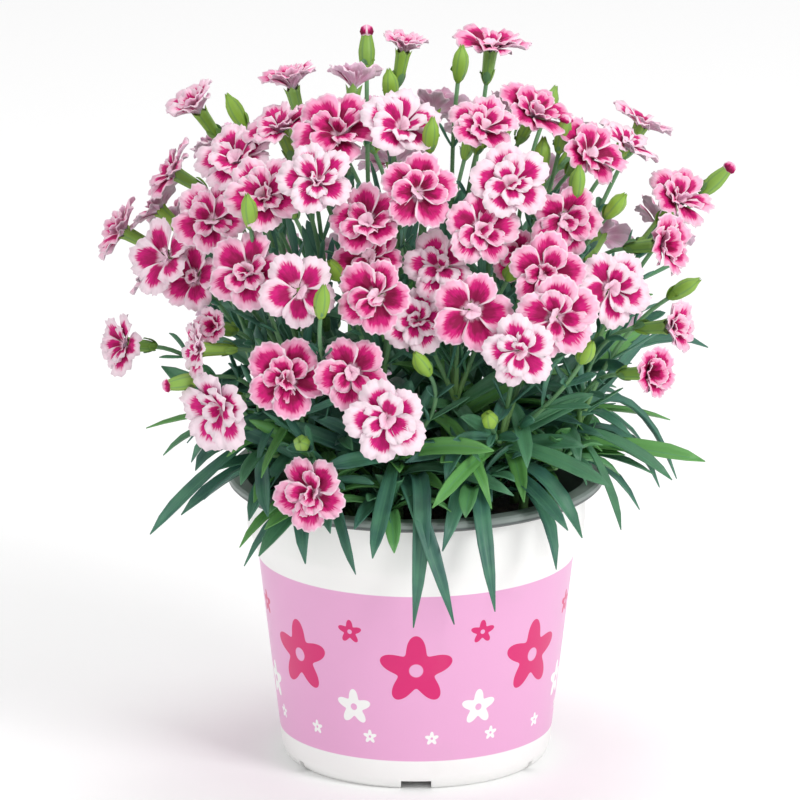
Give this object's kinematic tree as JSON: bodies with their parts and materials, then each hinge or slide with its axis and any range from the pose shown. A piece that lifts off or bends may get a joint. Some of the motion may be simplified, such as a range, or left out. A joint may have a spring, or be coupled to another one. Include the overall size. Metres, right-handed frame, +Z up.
{
  "type": "potted dianthus",
  "caption": "Bushy dianthus with pink and magenta fringed flowers in a white plastic pot with a pink band and a grey rim.",
  "frame": {"origin": "middle of the pot's base, on the surface it stands on", "axes": "+Z up along the pot's axis, -Y towards the front of the plant, +X to its right"},
  "size_m": [0.217, 0.2016, 0.2579],
  "materials": {
    "pot_plastic": "satin",
    "soil": "matte",
    "foliage": "satin",
    "petals": "matte"
  },
  "bodies": {
    "root": {"flower_01": "petals", "flower_02": "petals", "flower_03": "petals", "flower_04": "petals", "flower_05": "petals", "flower_06": "petals", "flower_07": "petals", "flower_08": "petals", "flower_09": "petals", "flower_10": "petals", "flower_11": "petals", "flower_12": "petals", "flower_13": "petals", "flower_14": "petals", "flower_15": "petals", "flower_16": "petals", "flower_17": "petals", "flower_18": "petals", "flower_19": "petals", "flower_20": "petals", "flower_21": "petals", "flower_22": "petals", "flower_23": "petals", "flower_24": "petals", "flower_25": "petals", "flower_26": "petals", "flower_27": "petals", "flower_28": "petals", "flower_29": "petals", "flower_30": "petals", "flower_31": "petals", "flower_32": "petals", "flower_33": "petals", "flower_34": "petals", "flower_35": "petals", "flower_36": "petals", "flower_37": "petals", "pot": "pot_plastic", "shoot_back": "foliage", "shoot_back_left": "foliage", "shoot_back_right": "foliage", "shoot_front": "foliage", "shoot_left": "foliage", "shoot_left_front": "foliage", "shoot_left_low": "foliage", "shoot_left_middle": "foliage", "shoot_left_top": "foliage", "shoot_left_upper": "foliage", "shoot_middle": "foliage", "shoot_middle_top": "foliage", "shoot_right": "foliage", "shoot_right_back": "foliage", "shoot_right_front": "foliage", "shoot_right_low": "foliage", "shoot_right_middle": "foliage", "shoot_right_top": "foliage", "shoot_right_upper": "foliage", "shoot_top": "foliage", "shoot_top_left": "foliage", "soil": "soil"}
  },
  "joints": []
}
